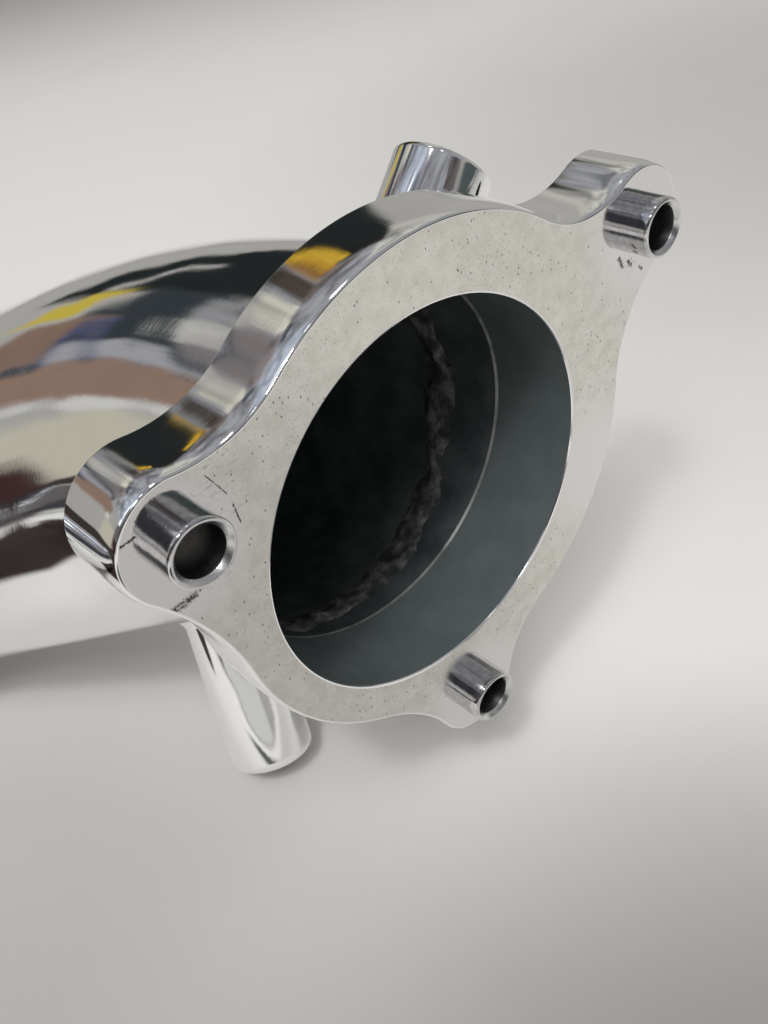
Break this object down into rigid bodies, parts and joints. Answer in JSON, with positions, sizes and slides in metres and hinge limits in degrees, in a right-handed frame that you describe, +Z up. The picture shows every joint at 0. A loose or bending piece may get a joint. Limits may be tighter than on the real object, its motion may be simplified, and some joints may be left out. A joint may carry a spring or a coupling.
{
  "type": "intercooler charge pipe",
  "caption": "Polished aluminium intercooler charge pipe with a three-ear dowelled flange, two bends, a sensor port, a mounting post and a beaded hose end.",
  "frame": {"origin": "centre of the bore in the plane of the flange's mating face", "axes": "-Y out of the flange's face along the bore, +Z up as the pipe lies on a table, -X out of the hose end"},
  "size_m": [0.2684, 0.1655, 0.1073],
  "materials": {
    "flange_aluminium": "satin pitted face, polished edges, machined bore",
    "polished_tube": "mirror polished outside, dull inside",
    "polished_boss": "mirror polished",
    "weld_metal": "polished flush outside, raw inside",
    "dowel_steel": "turned"
  },
  "bodies": {
    "root": {"flange": "flange_aluminium", "stub_tube": "polished_tube", "front_bend": "polished_tube", "rear_bend": "polished_tube", "outlet_tube": "polished_tube", "neck_weld": "weld_metal", "stub_weld": "weld_metal", "middle_weld": "weld_metal", "outlet_weld": "weld_metal", "port_boss": "polished_boss", "mounting_post": "polished_boss", "port_boss_weld": "weld_metal", "post_weld": "weld_metal", "dowel_right": "dowel_steel", "dowel_left": "dowel_steel", "dowel_bottom": "dowel_steel"}
  },
  "joints": []
}
